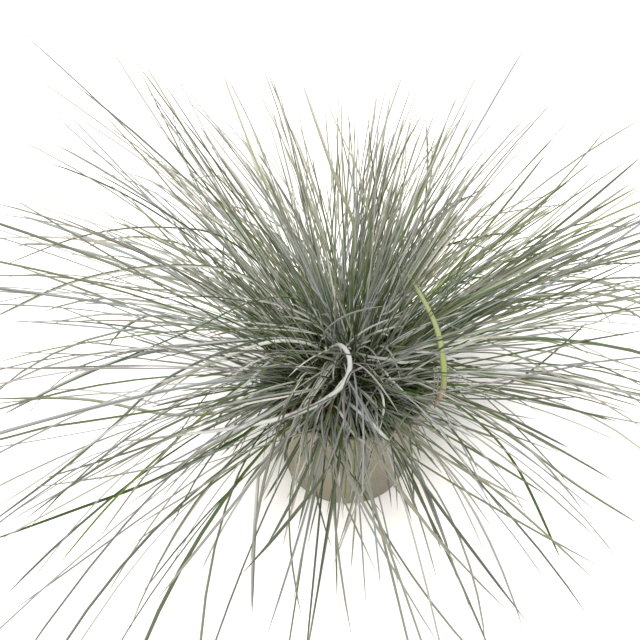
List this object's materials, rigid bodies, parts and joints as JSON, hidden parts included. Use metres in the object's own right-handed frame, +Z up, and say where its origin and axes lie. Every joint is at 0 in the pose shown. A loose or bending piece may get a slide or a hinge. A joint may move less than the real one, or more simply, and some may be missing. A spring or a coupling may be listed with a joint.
{
  "type": "potted blue fescue clump",
  "caption": "Ornamental blue fescue grass clump with fine arching blue-grey leaves, growing in its round tapered plastic nursery pot.",
  "frame": {"origin": "centre of the pot's flat underside, on the surface the pot stands on", "axes": "+Z up out of the pot, -Y towards the viewer of the picture, +X to that viewer's right"},
  "size_m": [0.5612, 0.4571, 0.2837],
  "materials": {
    "pot": "satin",
    "soil": "matte",
    "crown": "matte",
    "blue_grey_leaf": "matte",
    "fresh_green_leaf": "matte",
    "silver_leaf": "satin",
    "yellow_green_leaf": "satin"
  },
  "bodies": {
    "root": {"pot": "pot", "potting_soil": "soil", "root_crown": "crown", "curled_silver_leaf": "silver_leaf", "bent_green_leaf": "yellow_green_leaf", "leaf_tuft_01": "blue_grey_leaf", "leaf_tuft_02": "blue_grey_leaf", "leaf_tuft_03": "blue_grey_leaf", "leaf_tuft_04": "fresh_green_leaf", "leaf_tuft_05": "blue_grey_leaf", "leaf_tuft_06": "blue_grey_leaf", "leaf_tuft_07": "blue_grey_leaf", "leaf_tuft_08": "fresh_green_leaf", "leaf_tuft_09": "blue_grey_leaf", "leaf_tuft_10": "blue_grey_leaf", "leaf_tuft_11": "blue_grey_leaf", "leaf_tuft_12": "fresh_green_leaf", "leaf_tuft_13": "blue_grey_leaf", "leaf_tuft_14": "blue_grey_leaf", "leaf_tuft_15": "blue_grey_leaf", "leaf_tuft_16": "fresh_green_leaf", "leaf_tuft_17": "blue_grey_leaf", "leaf_tuft_18": "blue_grey_leaf", "leaf_tuft_19": "blue_grey_leaf", "leaf_tuft_20": "fresh_green_leaf", "leaf_tuft_21": "blue_grey_leaf", "leaf_tuft_22": "blue_grey_leaf", "leaf_tuft_23": "blue_grey_leaf", "leaf_tuft_24": "fresh_green_leaf", "leaf_tuft_25": "blue_grey_leaf", "leaf_tuft_26": "blue_grey_leaf", "leaf_tuft_27": "blue_grey_leaf", "leaf_tuft_28": "fresh_green_leaf", "leaf_tuft_29": "blue_grey_leaf", "leaf_tuft_30": "blue_grey_leaf", "leaf_tuft_31": "blue_grey_leaf", "leaf_tuft_32": "fresh_green_leaf", "leaf_tuft_33": "blue_grey_leaf", "leaf_tuft_34": "blue_grey_leaf", "leaf_tuft_35": "blue_grey_leaf", "leaf_tuft_36": "fresh_green_leaf", "leaf_tuft_37": "blue_grey_leaf", "leaf_tuft_38": "blue_grey_leaf", "leaf_tuft_39": "blue_grey_leaf", "leaf_tuft_40": "fresh_green_leaf", "leaf_tuft_41": "blue_grey_leaf", "leaf_tuft_42": "blue_grey_leaf", "leaf_tuft_43": "blue_grey_leaf", "leaf_tuft_44": "fresh_green_leaf", "leaf_tuft_45": "blue_grey_leaf", "leaf_tuft_46": "blue_grey_leaf", "leaf_tuft_47": "blue_grey_leaf", "leaf_tuft_48": "fresh_green_leaf"}
  },
  "joints": []
}
